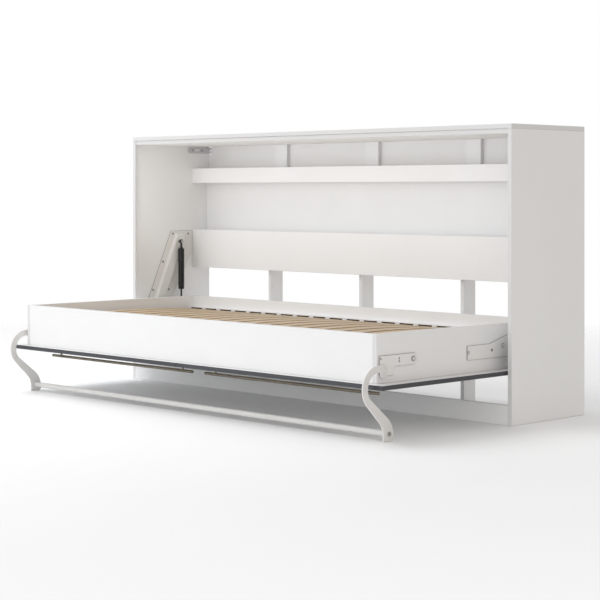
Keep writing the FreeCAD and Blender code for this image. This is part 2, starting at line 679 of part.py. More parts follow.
def build_gas_springs():
    x = spring_x
    y = spring_y
    eye_near = x - eye_width / 2 - side_play
    eye_far = x + eye_width / 2 + side_play
    top = stud_top_z - cylinder_top_drop
    bottom = top - cylinder_length

    stud = rod_x(stud_radius, eye_near - stud_flange, plate_face, y, stud_top_z)
    stud = stud.fuse([rod_x(stud_flange_radius, eye_far, plate_face, y, stud_top_z),
                      rod_x(stud_flange_radius, eye_near - stud_flange, eye_near, y, stud_top_z),
                      rod_x(stud_tail_radius, plate_face, plate_face + steel, y, stud_top_z)])
    keep("spring_top_studs", Part.makeCompound(both_sides([stud.removeSplitter()])))

    tube = rod_z(cylinder_radius, bottom, top, x, y)
    chamber = rod_z(cylinder_radius - cylinder_wall, bottom + gland_length, top - cylinder_end, x, y)
    gland_bore = rod_z(rod_radius + running_gap, bottom, bottom + gland_length, x, y)
    shell = tube.cut(chamber).cut(gland_bore)
    keep_pair("gas_cylinder", shell.fuse(spring_eye(stud_top_z, top)).removeSplitter())

    piston_top = top - cylinder_end - piston_top_gap
    fitting_top = bottom - rod_showing
    rod = rod_z(rod_radius, fitting_top, piston_top, x, y)
    piston = rod_z(piston_radius, piston_top - piston_length, piston_top, x, y)
    keep_pair("spring_rod", rod.fuse(piston).removeSplitter())
    keep_pair("rod_end_fitting", spring_eye(stud_foot_z, fitting_top))


build_cabinet()
build_wall_brackets()
build_mechanism_plates()
build_pivots()
build_bed_box()
build_slats()
build_bed_fittings()
build_handles()
build_leg_arms()
build_leg_frame()
build_gas_springs()

for name, shape in parts.items():
    shape.translate(V(0, -footprint_middle, 0))
    shape.exportStep("parts/" + name + ".step")
print(len(parts), "nodes")
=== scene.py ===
import json
import math
import bpy
import bmesh
from mathutils import Matrix, Vector


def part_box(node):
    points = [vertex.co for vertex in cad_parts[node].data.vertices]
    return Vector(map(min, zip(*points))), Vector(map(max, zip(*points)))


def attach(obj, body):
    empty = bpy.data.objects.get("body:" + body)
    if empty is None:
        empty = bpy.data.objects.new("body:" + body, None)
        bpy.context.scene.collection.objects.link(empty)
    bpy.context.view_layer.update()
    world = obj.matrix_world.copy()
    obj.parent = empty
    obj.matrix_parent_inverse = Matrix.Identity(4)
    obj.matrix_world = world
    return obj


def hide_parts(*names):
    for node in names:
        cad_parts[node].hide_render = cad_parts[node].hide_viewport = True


# Looks of the fold-down wall bed. Metres, in the CAD model's frame: X along the cabinet, Y towards the
# wall, Z up. Every piece takes its place from the boxes of the CAD nodes that it stands for.

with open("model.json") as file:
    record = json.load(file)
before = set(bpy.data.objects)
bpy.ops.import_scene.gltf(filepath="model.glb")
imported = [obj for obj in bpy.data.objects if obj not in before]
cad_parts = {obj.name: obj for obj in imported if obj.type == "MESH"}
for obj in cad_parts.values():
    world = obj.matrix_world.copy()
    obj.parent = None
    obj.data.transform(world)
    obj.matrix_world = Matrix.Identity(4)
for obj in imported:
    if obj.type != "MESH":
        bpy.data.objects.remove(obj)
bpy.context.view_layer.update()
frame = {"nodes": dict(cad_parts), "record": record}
body_of = {}
for body_name, members in frame["record"]["behaviour"]["bodies"].items():
    for member in members:
        body_of[member] = body_name

MM = 0.001
SIDES = (("left", -1), ("right", 1))


# ---- materials ------------------------------------------------------------------------------------
MIX_FACTOR, MIX_FIRST, MIX_SECOND = 0, 6, 7         # a Mix node's inputs when it mixes colours
MIX_RESULT = 2


class Nodes:
    """Makes and joins the nodes of one tree."""

    def __init__(self, tree):
        self.tree = tree

    def node(self, kind, settings=None, **inputs):
        made = self.tree.nodes.new("ShaderNode" + kind)
        for key, value in (settings or {}).items():
            setattr(made, key, value)
        for key, value in inputs.items():
            self.feed(made.inputs[key.replace("_", " ")], value)
        return made

    def feed(self, socket, value):
        if isinstance(value, bpy.types.NodeSocket):
            self.tree.links.new(value, socket)
        else:
            socket.default_value = value

    def span(self, value, low, high, to_low, to_high):
        """Spreads low to high of a value over to_low to to_high, and holds it there beyond them."""
        return self.node("MapRange", {"clamp": True}, Value=value, From_Min=low, From_Max=high, To_Min=to_low,
                         To_Max=to_high).outputs["Result"]

    def share(self, value, low, high, most=1.0):
        """Nothing up to low, most from high on."""
        return self.span(value, low, high, 0.0, most)

    def maths(self, operation, a, b=0.0):
        made = self.node("Math", {"operation": operation})
        self.feed(made.inputs[0], a)
        self.feed(made.inputs[1], b)
        return made.outputs["Value"]

    def blend(self, factor, first, second):
        made = self.node("Mix", {"data_type": "RGBA"})
        self.feed(made.inputs[MIX_FACTOR], factor)
        for socket, value in ((made.inputs[MIX_FIRST], first), (made.inputs[MIX_SECOND], second)):
            self.feed(socket, value if isinstance(value, bpy.types.NodeSocket) else (*value, 1.0))
        return made.outputs[MIX_RESULT]


class Surface(Nodes):
    """A Principled material whose colour, roughness and bump come from procedural textures."""

    def __init__(self, name, **constants):
        self.material = bpy.data.materials.new(name)
        self.material.use_nodes = True
        super().__init__(self.material.node_tree)
        self.shader = self.tree.nodes["Principled BSDF"]
        for socket, value in constants.items():
            self.shader.inputs[socket.replace("_", " ")].default_value = value
        self.coordinates = self.tree.nodes.new("ShaderNodeTexCoord")

    def place(self, stretch=(1, 1, 1), source="Object"):
        return self.node("Mapping", Vector=self.coordinates.outputs[source], Scale=stretch).outputs["Vector"]

    def noise(self, scale, stretch=(1, 1, 1), detail=3.0, roughness=0.5, distortion=0.0):
        return self.node("TexNoise", Vector=self.place(stretch), Scale=scale, Detail=detail,
                         Roughness=roughness, Distortion=distortion).outputs["Fac"]

    def cells(self, scale):
        return self.node("TexVoronoi", Vector=self.place(), Scale=scale).outputs["Distance"]

    def tone(self, number):
        """A random value of its own for each whole step of a number."""
        step = self.maths("FLOOR", number)
        return self.node("TexWhiteNoise", {"noise_dimensions": "1D"}, W=step).outputs["Value"]

    def bump(self, height, depth, under=None):
        made = self.node("Bump", Height=height, Distance=depth, Strength=1.0)
        if under is not None:
            self.feed(made.inputs["Normal"], under)
        return made.outputs["Normal"]

    def done(self, color, roughness, normal):
        self.feed(self.shader.inputs["Base Color"], color)
        self.feed(self.shader.inputs["Roughness"], roughness)
        self.feed(self.shader.inputs["Normal"], normal)
        return self.material


def melamine(name, light, dark, rough_low, rough_high, depth):
    """Faced board: faint cloudiness, a fine pearl texture and slightly uneven gloss."""
    s = Surface(name, Specular_IOR_Level=0.45)
    cloud = s.noise(5.0, detail=4.0)
    pearl = s.noise(900.0, detail=2.0, roughness=0.6)
    fine = s.noise(2600.0, detail=1.0)
    color = s.blend(s.share(cloud, 0.3, 0.7), light, dark)
    color = s.blend(s.share(pearl, 0.35, 0.75, 0.35), color, dark)
    rough = s.span(s.noise(38.0, detail=5.0), 0.25, 0.75, rough_low, rough_high)
    normal = s.bump(fine, depth * 0.3, s.bump(pearl, depth))
    return s.done(color, rough, normal)


def edge_band(name, light, dark, rough_low, rough_high):
    """Plastic edge band with fine drawn lines along the board."""
    s = Surface(name, Specular_IOR_Level=0.5)
    lines = s.noise(420.0, (0.02, 0.02, 3.0), detail=3.0)
    specks = s.noise(1500.0, detail=2.0)
    color = s.blend(s.share(lines, 0.3, 0.7), light, dark)
    color = s.blend(s.share(specks, 0.45, 0.8, 0.4), color, dark)
    rough = s.span(s.noise(60.0, (0.2, 0.2, 1.0), detail=4.0), 0.25, 0.75, rough_low, rough_high)
    return s.done(color, rough, s.bump(specks, 0.00002, s.bump(lines, 0.00003)))


def powder_coat(name, light, dark, rough_low, rough_high, peel):
    """Powder-coated or painted steel with its orange peel."""
    s = Surface(name, Specular_IOR_Level=0.5)
    peel_height = s.noise(650.0, detail=2.0, roughness=0.4)
    cloud = s.noise(14.0, detail=4.0)
    color = s.blend(s.share(cloud, 0.3, 0.7), light, dark)
    color = s.blend(s.share(peel_height, 0.3, 0.75, 0.3), color, dark)
    rough = s.span(s.noise(90.0, detail=4.0), 0.25, 0.75, rough_low, rough_high)
    return s.done(color, rough, s.bump(peel_height, peel))


def smooth_paint(name, light, dark, rough_low, rough_high):
    """Smooth sprayed paint: broad changes of gloss and a few dust specks."""
    s = Surface(name, Specular_IOR_Level=0.42)
    specks = s.cells(1400.0)
    color = s.blend(s.span(specks, 0.0, 0.16, 1.0, 0.0), dark, light)
    rough = s.span(s.noise(25.0, detail=3.0), 0.3, 0.7, rough_low, rough_high)
    return s.done(color, rough, s.bump(s.noise(120.0, detail=2.0), 0.000004))


def drawn_metal(name, light, dark, rough_low, rough_high, stretch, depth):
    """Bare metal with drawn or turned lines along the stretched-out direction."""
    s = Surface(name, Metallic=1.0)
    lines = s.noise(900.0, stretch, detail=3.0, roughness=0.65)
    stain = s.noise(30.0, detail=5.0)
    color = s.blend(s.share(lines, 0.3, 0.7), light, dark)
    color = s.blend(s.share(stain, 0.45, 0.75, 0.5), color, dark)
    rough = s.span(lines, 0.25, 0.75, rough_low, rough_high)
    return s.done(color, rough, s.bump(lines, depth))


def zinc_plate(name):
    """Zinc-plated sheet: soft spangle and fine rolling lines."""
    s = Surface(name, Metallic=1.0)
    spangle = s.cells(160.0)
    lines = s.noise(700.0, (1.0, 0.03, 1.0), detail=3.0)
    color = s.blend(s.share(spangle, 0.0, 0.8), (0.78, 0.78, 0.79), (0.60, 0.60, 0.61))
    color = s.blend(s.share(lines, 0.4, 0.7, 0.5), color, (0.52, 0.52, 0.53))
    rough = s.span(spangle, 0.0, 0.8, 0.32, 0.5)
    return s.done(color, rough, s.bump(lines, 0.00003))


def moulded_plastic(name, light, dark, rough_low, rough_high, depth):
    """Moulded plastic with a fine spark-eroded grain."""
    s = Surface(name, Specular_IOR_Level=0.45)
    grain = s.cells(900.0)
    cloud = s.noise(60.0, detail=4.0)
    color = s.blend(s.share(cloud, 0.3, 0.7), light, dark)
    color = s.blend(s.share(grain, 0.2, 0.8, 0.4), color, dark)
    rough = s.span(s.noise(300.0), 0.25, 0.75, rough_low, rough_high)
    return s.done(color, rough, s.bump(grain, depth))


SLATS_PER_METRE = 10.0
PLIES_PER_SLAT = 7.0
GLUE_FROM, GLUE_FULL = 0.41, 0.49       # of a ply's height, from its middle


def beech_face(name):
    """Clear beech along Y: long grain, short dark flecks and a tone of its own for each slat."""
    s = Surface(name, Specular_IOR_Level=0.4)
    own_tone = s.tone(s.node("SeparateXYZ", Vector=s.place((SLATS_PER_METRE, 1.0, 1.0))).outputs["X"])
    streaks = s.noise(70.0, (1.0, 0.035, 1.0), detail=5.0, roughness=0.62, distortion=0.5)
    pores = s.noise(600.0, (1.0, 0.05, 1.0), detail=3.0, roughness=0.6)
    flecks = s.noise(330.0, (1.0, 0.22, 1.0), detail=1.0)
    color = s.blend(s.share(streaks, 0.32, 0.68), (0.575, 0.455, 0.315), (0.455, 0.345, 0.225))
    color = s.blend(s.maths("MULTIPLY", own_tone, 0.55), color, (0.50, 0.375, 0.245))
    color = s.blend(s.share(pores, 0.5, 0.72, 0.45), color, (0.36, 0.235, 0.125))
    color = s.blend(s.share(flecks, 0.62, 0.72, 0.5), color, (0.33, 0.20, 0.10))
    rough = s.span(streaks, 0.3, 0.7, 0.42, 0.56)
    return s.done(color, rough, s.bump(streaks, 0.00006, s.bump(pores, 0.00004)))


def beech_plies(name):
    """Edge of laminated beech: the plies run along the slat at even heights of its thickness."""
    s = Surface(name, Specular_IOR_Level=0.35)
    height = s.node("SeparateXYZ", Vector=s.place(source="UV")).outputs["Y"]
    ply = s.maths("MULTIPLY", height, PLIES_PER_SLAT)
    own_tone = s.tone(ply)
    in_ply = s.maths("FRACT", ply)
    to_glue = s.maths("ABSOLUTE", s.maths("SUBTRACT", in_ply, 0.5))
    glue = s.share(to_glue, GLUE_FROM, GLUE_FULL, 0.85)
    fibres = s.noise(500.0, (1.0, 0.06, 1.0), detail=3.0)
    color = s.blend(own_tone, (0.60, 0.45, 0.29), (0.45, 0.31, 0.18))
    color = s.blend(s.share(fibres, 0.4, 0.7, 0.4), color, (0.36, 0.24, 0.13))
    color = s.blend(glue, color, (0.22, 0.13, 0.07))
    return s.done(color, s.span(fibres, 0.3, 0.7, 0.5, 0.66), s.bump(fibres, 0.00005))


FLOOR_FADE_FROM, FLOOR_GONE_AT = 1.9, 4.5           # metres from the middle


def floor_surface():
    """Pale studio floor that fades into the white surroundings far from the object."""
    s = Surface("floor", Specular_IOR_Level=0.2)
    cloud = s.noise(0.8, detail=5.0)
    grit = s.noise(160.0, detail=3.0)
    color = s.blend(s.share(cloud, 0.3, 0.7), (0.962, 0.964, 0.966), (0.947, 0.949, 0.951))
    s.done(color, s.span(grit, 0.3, 0.7, 0.62, 0.75), s.bump(grit, 0.00004))
    distance = s.node("VectorMath", {"operation": "LENGTH"}, Vector=s.place()).outputs["Value"]
    faded = s.node("MixShader", Fac=s.share(distance, FLOOR_FADE_FROM, FLOOR_GONE_AT))
    near, far = faded.inputs[1:]
    s.feed(near, s.shader.outputs["BSDF"])
    s.feed(far, s.node("BsdfTransparent").outputs["BSDF"])
    s.feed(s.tree.nodes["Material Output"].inputs["Surface"], faded.outputs["Shader"])
    return s.material


WHITE_FACE = melamine("white_melamine", (0.885, 0.887, 0.888), (0.865, 0.867, 0.868), 0.40, 0.52, 0.00003)
# the doors' white melamine made darker than the carcass white: painted shade, so the large door faces don't
# burn out white
SHADED_DOOR_FACE = melamine("door_melamine_with_painted_shade", (0.79, 0.792, 0.793), (0.765, 0.767, 0.768), 0.40, 0.52, 0.00003)
# white edge band darker than the board faces: painted shade on the board edges
EDGE_BAND_PAINTED_SHADE = edge_band("white_edge_band_with_painted_shade", (0.76, 0.762, 0.762), (0.725, 0.727, 0.727), 0.33, 0.45)
DARK_EDGE = edge_band("anthracite_edge_band", (0.058, 0.061, 0.070), (0.038, 0.040, 0.047), 0.34, 0.48)
WHITE_SHEET = melamine("lacquered_hardboard", (0.86, 0.86, 0.855), (0.84, 0.84, 0.835), 0.5, 0.65, 0.00006)
STEEL_COAT = powder_coat("white_powder_coat", (0.80, 0.79, 0.775), (0.765, 0.755, 0.74), 0.36, 0.50, 0.00004)
PLATE_COAT = powder_coat("pale_powder_coat", (0.865, 0.86, 0.85), (0.835, 0.83, 0.82), 0.38, 0.50, 0.00003)
# grey of the plates' cut edges, made dark enough to paint the thin shadow line round each plate
CUT_EDGE_AND_OUTLINE_SHADE = powder_coat("grey_cut_edge_and_painted_outline_shade", (0.36, 0.355, 0.35), (0.27, 0.265, 0.26), 0.42, 0.55, 0.00003)
BLACK_COAT = smooth_paint("black_paint", (0.012, 0.012, 0.013), (0.005, 0.005, 0.006), 0.20, 0.28)
BLACK_ROD = smooth_paint("nitrided_rod", (0.016, 0.016, 0.017), (0.008, 0.008, 0.009), 0.15, 0.22)
# handle metal darkened well below its champagne colour: painted dark reflection of the shaded floor and door
# underside
HANDLE_STEEL_PAINTED_REFLECTION = drawn_metal("brushed_handle_steel_with_painted_dark_reflection", (0.27, 0.235, 0.185), (0.14, 0.12, 0.09), 0.14, 0.24,
                           (0.02, 1.0, 1.0), 0.00002)
SCREW_STEEL = drawn_metal("plated_screw_steel", (0.47, 0.46, 0.45), (0.30, 0.295, 0.29), 0.30, 0.45,
                          (0.4, 1.0, 1.0), 0.00002)
PIN_STEEL = drawn_metal("turned_steel", (0.56, 0.56, 0.56), (0.38, 0.38, 0.38), 0.24, 0.36,
                        (3.0, 0.3, 0.3), 0.00002)
ZINC = zinc_plate("zinc_plated_steel")
CAP_PLASTIC = moulded_plastic("black_cap_plastic", (0.022, 0.022, 0.023), (0.012, 0.012, 0.013), 0.48, 0.62,
                              0.00003)
NYLON = moulded_plastic("pale_nylon", (0.66, 0.655, 0.63), (0.58, 0.575, 0.55), 0.42, 0.55, 0.00002)
BEECH_FACE = beech_face("beech_face")
BEECH_PLIES = beech_plies("beech_plies")
slot_of = {row["node"]: row["material_slot"] for row in frame["record"]["subparts"]}


# ---- mesh tools -----------------------------------------------------------------------------------
SAME_POINT = 1e-6                       # points closer than this are one
LEAST_ROUND = 0.1 * MM


def in_mm(profile):
    """A profile of (radius, distance) that is given in millimetres."""
    return [(radius * MM, along * MM) for radius, along in profile]


def side_of(low, high):
    """1 for a solid on the right, -1 for one on the left."""
    return 1 if low.x + high.x > 0 else -1


def middle_of(low, high):
    return (low.x + high.x) / 2, (low.y + high.y) / 2, (low.z + high.z) / 2


def oblong(left, low, right, high, radius):
    return [(left, low, radius), (right, low, radius), (right, high, radius), (left, high, radius)]


def rounded(corners, per_corner=10):
    """Points of a closed outline through (u, v, radius) corners, each rounded to its radius."""
    points = []
    count = len(corners)
    for i in range(count):
        u, v, radius = corners[i]
        corner = Vector((u, v))
        back = (Vector(corners[i - 1][:2]) - corner).normalized()
        ahead = (Vector(corners[(i + 1) % count][:2]) - corner).normalized()
        half = back.angle(ahead) / 2
        middle = corner + (back + ahead).normalized() * (radius / math.sin(half))
        start = corner + back * (radius / math.tan(half)) - middle
        end = corner + ahead * (radius / math.tan(half)) - middle
        turn = start.angle_signed(end)
        for k in range(per_corner + 1):
            points.append(middle + Matrix.Rotation(-turn * k / per_corner, 2) @ start)
    return points


def inset(corners, depth):
    """The same outline moved inwards by depth, with its roundings kept concentric."""
    count = len(corners)
    area = sum(corners[i - 1][0] * corners[i][1] - corners[i][0] * corners[i - 1][1] for i in range(count))
    around = 1 if area > 0 else -1
    moved = []
    for i in range(count):
        corner = Vector(corners[i][:2])
        before = (corner - Vector(corners[i - 1][:2])).normalized()
        after = (Vector(corners[(i + 1) % count][:2]) - corner).normalized()
        turning = around * (before.x * after.y - before.y * after.x)
        inward = (Vector((-before.y, before.x)) + Vector((-after.y, after.x))) * around
        scale = 2 * depth / inward.length_squared
        radius = max(corners[i][2] + (-depth if turning > 0 else depth), LEAST_ROUND)
        place = corner + inward * scale
        moved.append((place.x, place.y, radius))
    return moved


def loft(mesh, rings, slot=0):
    """Closed skin through rings of equally many points."""
    rows = [[mesh.verts.new(point) for point in ring] for ring in rings]
    count = len(rows[0])
    for low, high in zip(rows, rows[1:]):
        for i in range(count):
            j = (i + 1) % count
            mesh.faces.new((low[i], low[j], high[j], high[i])).material_index = slot
    for end in (rows[0], rows[-1]):
        mesh.faces.new(end).material_index = slot


def ring_about(origin, direction, along, radius_at, segments):
    """Points round an axis at a distance along it; radius_at gives the radius of each numbered point."""
    axis = Vector(direction)
    across = axis.orthogonal().normalized()
    other = axis.cross(across)
    middle = Vector(origin) + axis * along
    points = []
    for i in range(segments):
        angle = 2 * math.pi * i / segments
        points.append(middle + (across * math.cos(angle) + other * math.sin(angle)) * radius_at(i))
    return points


def turned(mesh, profile, origin, direction, segments=48, slot=0):
    """Body of revolution: profile is (radius, distance along direction) from the origin."""
    rings = []
    for radius, along in profile:
        rings.append(ring_about(origin, direction, along, lambda i: radius, segments))
    loft(mesh, rings, slot)


def flat_plate(mesh, corners, x0, x1, round_off):
    """Plate across X with its rims rounded off; corners are (y, z, radius)."""
    rims = []
    steps = 3
    for k in range(steps + 1):
        angle = math.pi / 2 * k / steps
        rims.append((round_off * (1 - math.sin(angle)), round_off * (1 - math.cos(angle))))
    rows = [(shrink, x0 + rise) for shrink, rise in rims]
    rows += [(shrink, x1 - rise) for shrink, rise in reversed(rims)]
    loft(mesh, [[Vector((x, p.x, p.y)) for p in rounded(inset(corners, shrink))] for shrink, x in rows])


def mark_rims(mesh):
    """Gives the cut edges of the plates made so far the second material: a dark grey that also paints the
    thin shadow line round each plate.
    """
    square_to_x = 0.97
    mesh.normal_update()
    for side in mesh.faces:
        if abs(side.normal.x) < square_to_x:
            side.material_index = 1


def circle(y, z, radius):
    segments = 32
    return [Vector((y + radius * math.cos(2 * math.pi * i / segments),
                    z + radius * math.sin(2 * math.pi * i / segments))) for i in range(segments)]


def pierced_plate(mesh, outer, holes, x0, x1, round_off):
    """Plate across X with holes through it and every rim rounded off; outer and holes are (y, z) points."""
    curve = bpy.data.curves.new("plate_outline", "CURVE")
    curve.dimensions = "2D"
    curve.fill_mode = "BOTH"
    curve.extrude = (x1 - x0) / 2 - round_off
    curve.bevel_depth = round_off
    curve.bevel_resolution = 2
    curve.offset = -round_off
    for points in [outer] + holes:
        line = curve.splines.new("POLY")
        line.points.add(len(points) - 1)
        for made, point in zip(line.points, points):
            made.co = (point.x, point.y, 0.0, 1.0)
        line.use_cyclic_u = True
    holder = bpy.data.objects.new("plate_outline", curve)
    solid = bpy.data.meshes.new_from_object(holder)
    first = len(mesh.verts)
    mesh.from_mesh(solid)
    mesh.verts.ensure_lookup_table()
    for vertex in mesh.verts[first:]:
        y, z, across = vertex.co
        vertex.co = ((x0 + x1) / 2 + across, y, z)
    bmesh.ops.remove_doubles(mesh, verts=mesh.verts[first:], dist=SAME_POINT)
    bpy.data.objects.remove(holder)
    bpy.data.curves.remove(curve)
    bpy.data.meshes.remove(solid)


def solid_boxes(node):
    """Lowest and highest corner of each separate solid of a CAD node."""
    mesh = bmesh.new()
    mesh.from_mesh(frame["nodes"][node].data)
    bmesh.ops.remove_doubles(mesh, verts=mesh.verts, dist=SAME_POINT)
    waiting = set(mesh.verts)
    boxes = []
    while waiting:
        found = [waiting.pop()]
        points = []
        while found:
            vertex = found.pop()
            points.append(vertex.co.copy())
            for edge in vertex.link_edges:
                near = edge.other_vert(vertex)
                if near in waiting:
                    waiting.remove(near)
                    found.append(near)
        low = Vector(min(p[k] for p in points) for k in range(3))
        high = Vector(max(p[k] for p in points) for k in range(3))
        boxes.append((low, high))
    mesh.free()
    return boxes


def piece(node, mesh, materials, sharp=35.0):
    """Turns a bmesh into the visible piece that stands for a CAD node; sharp is in degrees."""
    bmesh.ops.recalc_face_normals(mesh, faces=mesh.faces)
    data = bpy.data.meshes.new(node + "_look")
    mesh.to_mesh(data)
    mesh.free()
    data.shade_smooth()
    data.set_sharp_from_angle(angle=math.radians(sharp))
    for material in materials:
        data.materials.append(material)
    made = bpy.data.objects.new(node + "_look", data)
    bpy.context.scene.collection.objects.link(made)
    weighted = made.modifiers.new("even_normals", "WEIGHTED_NORMAL")
    weighted.keep_sharp = True
    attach(made, body_of[node])
    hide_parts(node)


# ---- boards ---------------------------------------------------------------------------------------
ARRIS = 0.8 * MM
DOOR_ARRIS = 0.6 * MM


def board_piece(node, face, edge, arris):
    """Faced board: laminate on its two large faces, edge band round it and softly broken arrises."""
    square_to_face = 0.999
    low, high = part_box(node)
    size = high - low
    thin = min(range(3), key=lambda k: size[k])
    mesh = bmesh.new()
    bmesh.ops.create_cube(mesh, size=1.0)
    for vertex in mesh.verts:
        vertex.co = Vector(low[k] + (vertex.co[k] + 0.5) * size[k] for k in range(3))
    bmesh.ops.bevel(mesh, geom=mesh.edges[:], offset=arris, segments=3, profile=0.5, affect="EDGES")
    mesh.normal_update()
    for side in mesh.faces:
        side.material_index = 0 if abs(side.normal[thin]) > square_to_face else 1
    piece(node, mesh, [face, edge], sharp=60.0)


WHITE_BOARDS = [
    "left_side_panel", "right_side_panel", "top_panel", "ceiling_board", "front_plinth", "upper_rail",
    "wide_rail", "back_panel", "left_back_batten", "centre_back_batten", "right_back_batten",
    "left_support_rib", "centre_support_rib", "right_support_rib", "front_board", "rear_board",
    "left_side_board", "right_side_board", "seam_batten"]
WIDE_ARRIS = {
    "top_panel": 1.6 * MM, "ceiling_board": 1.6 * MM, "front_board": 1.5 * MM, "left_side_board": 1.4 * MM,
    "right_side_board": 1.4 * MM, "back_panel": 1.5 * MM, "wide_rail": 1.2 * MM, "upper_rail": 1.2 * MM}
for name in WHITE_BOARDS:
    board_piece(name, WHITE_FACE, EDGE_BAND_PAINTED_SHADE, WIDE_ARRIS.get(name, ARRIS))
for name in ("left_door_panel", "right_door_panel"):
    board_piece(name, SHADED_DOOR_FACE, DARK_EDGE, DOOR_ARRIS)


# ---- slats and their caps -------------------------------------------------------------------------
SLAT_SETS = 4
SLAT_WIDTH = 70 * MM
SLAT_THICKNESS = 8 * MM
SLAT_ROUND = 1.6 * MM
SLAT_STEPS = 32
CAP_WALL = 1.2 * MM
CAP_FLOOR = 6 * MM
CAP_GAP = 0.4 * MM
CAP_ROUND = 1.0 * MM


def bow(along, camber):
    """Rise of a slat's underside at a share of its length."""
    return camber * (1 - (2 * along - 1) ** 2)


def slat_mesh(mesh, uv, low, high):
    """One bowed slat: a rounded section swept along the bow, with the height in it kept as UV."""
    upright = 0.6
    section = rounded(oblong(-SLAT_WIDTH / 2, 0, SLAT_WIDTH / 2, SLAT_THICKNESS, SLAT_ROUND), 3)
    x = (low.x + high.x) / 2
    camber = high.z - low.z - SLAT_THICKNESS
    rings = []
    for k in range(SLAT_STEPS + 1):
        along = k / SLAT_STEPS
        y = low.y + (high.y - low.y) * along
        rings.append([Vector((x + p.x, y, low.z + bow(along, camber) + p.y)) for p in section])
    first_face = len(mesh.faces)
    loft(mesh, rings)
    mesh.faces.ensure_lookup_table()
    mesh.normal_update()
    for side in mesh.faces[first_face:]:
        side.material_index = 1 if abs(side.normal.z) < upright else 0
        for corner in side.loops:
            along = (corner.vert.co.y - low.y) / (high.y - low.y)
            corner[uv].uv = (along, (corner.vert.co.z - low.z - bow(along, camber)) / SLAT_THICKNESS)


for number in range(1, SLAT_SETS + 1):
    name = "slat_set_%d" % number
    slats = bmesh.new()
    layer = slats.loops.layers.uv.new("thickness")
    for low, high in solid_boxes(name):
        slat_mesh(slats, layer, low, high)
    piece(name, slats, [BEECH_FACE, BEECH_PLIES], sharp=50.0)


def cap_mesh(mesh, low, high, inward):
    """Plastic liner of a pocket in a ledge, with its mouth towards the middle of the bed."""
    x = (low.x + high.x) / 2
    half = (high.x - low.x) / 2
    height = high.z - low.z
    back = low.y if inward > 0 else high.y
    depth = high.y - low.y
    outer = oblong(-half, 0, half, height, CAP_ROUND)
    wide = SLAT_WIDTH / 2 + CAP_GAP
    inner = oblong(-wide, CAP_FLOOR - CAP_GAP, wide, height - CAP_WALL, CAP_ROUND)
    soft = CAP_ROUND / 2
    rows = [(inset(outer, soft), 0.0), (outer, soft), (outer, depth - soft), (inset(outer, soft), depth),
            (inset(inner, -soft), depth), (inner, depth - soft), (inner, CAP_WALL)]
    loft(mesh, [[Vector((x + p.x, back + inward * d, low.z + p.y)) for p in rounded(shape, 5)]
                for shape, d in rows])


caps = bmesh.new()
cap_low, cap_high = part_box("slat_end_caps")
well_middle = (cap_low.y + cap_high.y) / 2
for low, high in solid_boxes("slat_end_caps"):
    cap_mesh(caps, low, high, 1 if (low.y + high.y) / 2 < well_middle else -1)
piece("slat_end_caps", caps, [CAP_PLASTIC], sharp=40.0)


# ---- screws, bolts, pins and studs ----------------------------------------------------------------
HEAD = 2.2 * MM                         # height of the heads of screws and of the leg's joint bolts
SCREW_SHANK = 2.4 * MM                  # radii of the shanks
JOINT_SHANK = 2.5 * MM
TUBE_BOLT_SHANK = 4.0 * MM
TUBE_BOLT_HEAD = 4.0 * MM
RIVET_EDGE = 0.3 * MM
CAPPED_OVER = 6 * MM                    # heads over this radius on the pivot plates have caps
TUBE_BOLT_OVER = 7 * MM                 # and these tell the leg frame's fasteners apart
JOINT_BOLT_OVER = 4 * MM
DOME = [(1.0, 0.0), (1.0, 0.35), (0.96, 0.6), (0.86, 0.82), (0.7, 0.95), (0.58, 1.0)]
RECESS = [(0.5, 0.62, 1.0), (0.42, 0.6, 0.55), (0.12, 0.3, 0.3)]        # radius, depth of the cross, height


def end_of(low, high, towards):
    """Middle of the end that looks along X towards -1 or 1."""
    x, y, z = middle_of(low, high)
    return high.x if towards > 0 else low.x, y, z


def screw(mesh, low, high, towards, head, shank, slot=0):
    """Screw along X that fills its box: a pan head with a cross recess on a plain shank."""
    segments = 40
    radius = (high.z - low.z) / 2
    top, y, z = end_of(low, high, towards)
    seat = (top - towards * head, y, z)

    def plain(size):
        return lambda i: size

    def cross(size, depth):
        return lambda i: size * (1.0 - depth * abs(math.sin(4 * math.pi * i / segments)) ** 0.5)

    rows = [(-(high.x - low.x - head), plain(shank)), (0.0, plain(shank))]
    rows += [(head * up, plain(radius * share)) for share, up in DOME]
    rows += [(head * up, cross(radius * share, depth)) for share, depth, up in RECESS]
    loft(mesh, [ring_about(seat, (towards, 0, 0), along, size, segments) for along, size in rows], slot)


screws = bmesh.new()
for low, high in solid_boxes("cabinet_screws"):
    screw(screws, low, high, -side_of(low, high), HEAD, SCREW_SHANK)
piece("cabinet_screws", screws, [SCREW_STEEL])

WASHER = [(0.5, 0.0), (0.97, 0.0), (1.0, 0.12), (1.0, 0.3), (0.96, 0.4), (0.6, 0.4)]
CAP = [(0.4, 0.2), (0.76, 0.2), (0.76, 0.7), (0.7, 0.92), (0.6, 1.0), (0.34, 1.0), (0.3, 0.9), (0.3, 0.55)]
SOCKET = [(0.28, 0.5), (0.28, 0.72)]


def capped_screw(mesh, low, high, side):
    """Plain shank and dark washer with a painted cap on it, which has a dark socket in its middle."""
    radius = (high.z - low.z) / 2
    top, y, z = end_of(low, high, side)
    seat = (top - side * HEAD, y, z)
    for profile, slot in ((WASHER, 0), (CAP, 1), (SOCKET, 0)):
        turned(mesh, [(radius * share, HEAD * up) for share, up in profile], seat, (side, 0, 0), slot=slot)
    turned(mesh, [(SCREW_SHANK, 0.0), (SCREW_SHANK, high.x - low.x - HEAD)], seat, (-side, 0, 0))


screws = bmesh.new()
for low, high in solid_boxes("pivot_plate_screws"):
    if (high.z - low.z) / 2 > CAPPED_OVER:
        capped_screw(screws, low, high, side_of(low, high))
    else:
        screw(screws, low, high, side_of(low, high), HEAD, SCREW_SHANK)
piece("pivot_plate_screws", screws, [SCREW_STEEL, STEEL_COAT])


